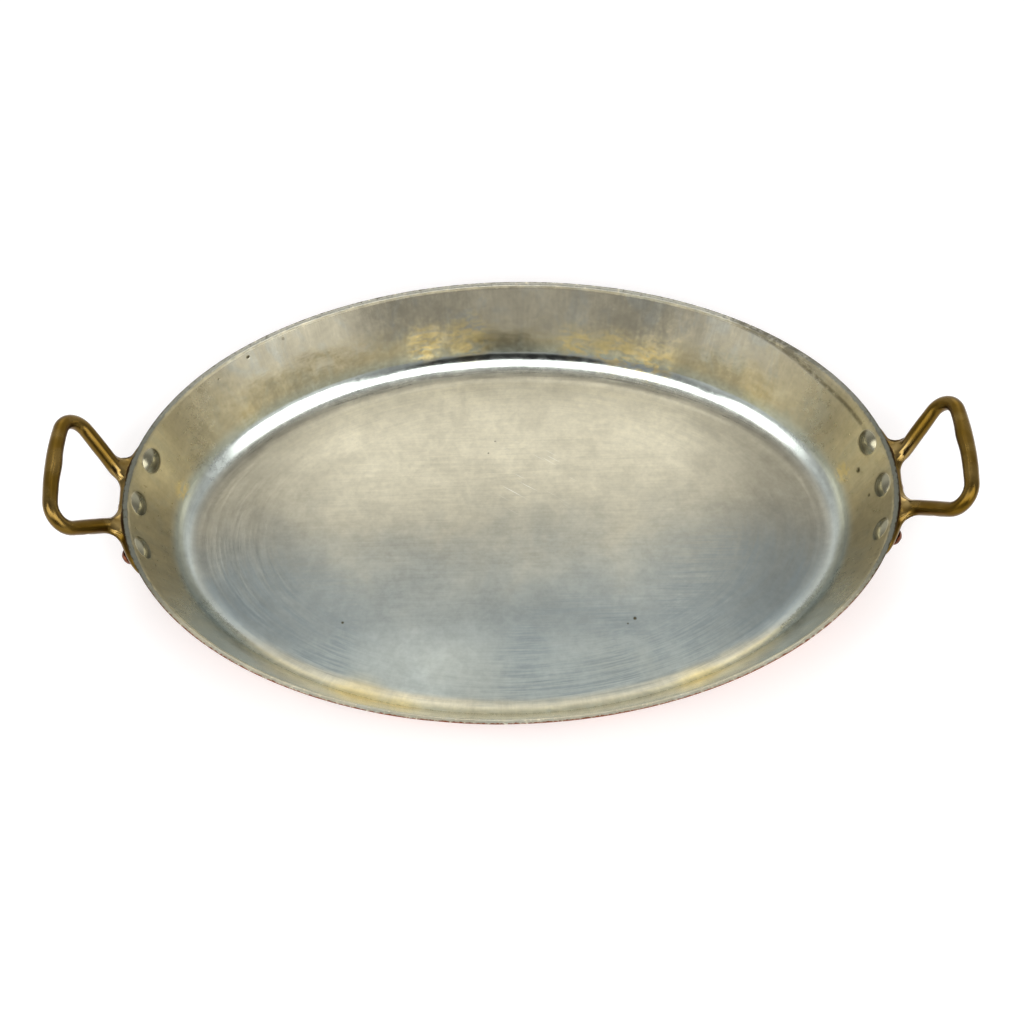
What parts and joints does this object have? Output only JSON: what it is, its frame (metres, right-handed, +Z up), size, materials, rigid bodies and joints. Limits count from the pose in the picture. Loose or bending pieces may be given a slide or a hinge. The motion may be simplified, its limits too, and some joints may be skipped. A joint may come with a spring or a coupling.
{
  "type": "oval gratin pan",
  "caption": "Shallow oval copper pan with a flared wall and tin-wiped inside, and a cast brass loop handle riveted to each end.",
  "frame": {"origin": "Centre of the flat base, on the surface that the pan stands on.", "axes": "+X along the pan towards the right handle, +Y across the pan towards its back, +Z up."},
  "size_m": [0.4822, 0.279, 0.0824],
  "materials": {
    "copper": "old polished copper, warm and slightly dulled",
    "tin": "hand-wiped tin, satin grey with fine wipe marks and warm tarnish",
    "cast_brass": "aged cast brass, polished smooth by handling, brown in the roots"
  },
  "bodies": {
    "root": {"copper_body": "copper", "tin_lining": "tin", "handle_right": "cast_brass", "handle_left": "cast_brass", "rivet_right_front": "copper", "rivet_right_middle": "copper", "rivet_right_back": "copper", "rivet_left_front": "copper", "rivet_left_middle": "copper", "rivet_left_back": "copper"}
  },
  "joints": []
}
